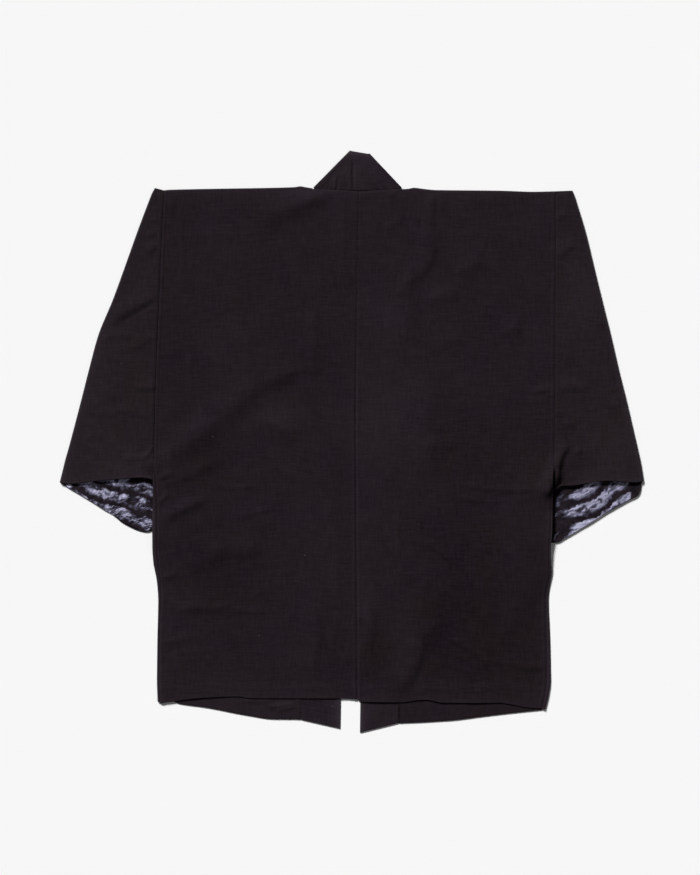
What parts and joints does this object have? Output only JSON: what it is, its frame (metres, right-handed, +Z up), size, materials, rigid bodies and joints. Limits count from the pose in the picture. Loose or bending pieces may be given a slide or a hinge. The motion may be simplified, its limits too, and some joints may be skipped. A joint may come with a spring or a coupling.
{
  "type": "haori jacket",
  "caption": "Hip-length cotton kimono jacket laid flat with its back up, with wide lowered sleeves, patterned sleeve linings and a folded band collar.",
  "frame": {"origin": "on the surface the jacket lies on, under the middle of its outline", "axes": "+Z up out of the jacket's back, +Y from the hem to the collar, +X across the shoulders towards the wearer's right sleeve"},
  "size_m": [0.9065, 0.9039, 0.0099],
  "materials": {
    "body_cotton": "matt black cotton in a fine checked weave",
    "collar_cotton": "matt black cotton in a fine checked weave, doubled",
    "sleeve_cotton": "matt black cotton in a fine checked weave, a little faded",
    "shibori_lining": "indigo cotton with pale resist-dyed bands"
  },
  "bodies": {
    "root": {"body_left": "body_cotton", "body_right": "body_cotton", "collar": "collar_cotton", "sleeve_left": "sleeve_cotton", "sleeve_right": "sleeve_cotton", "sleeve_lining_left": "shibori_lining", "sleeve_lining_right": "shibori_lining"}
  },
  "joints": []
}
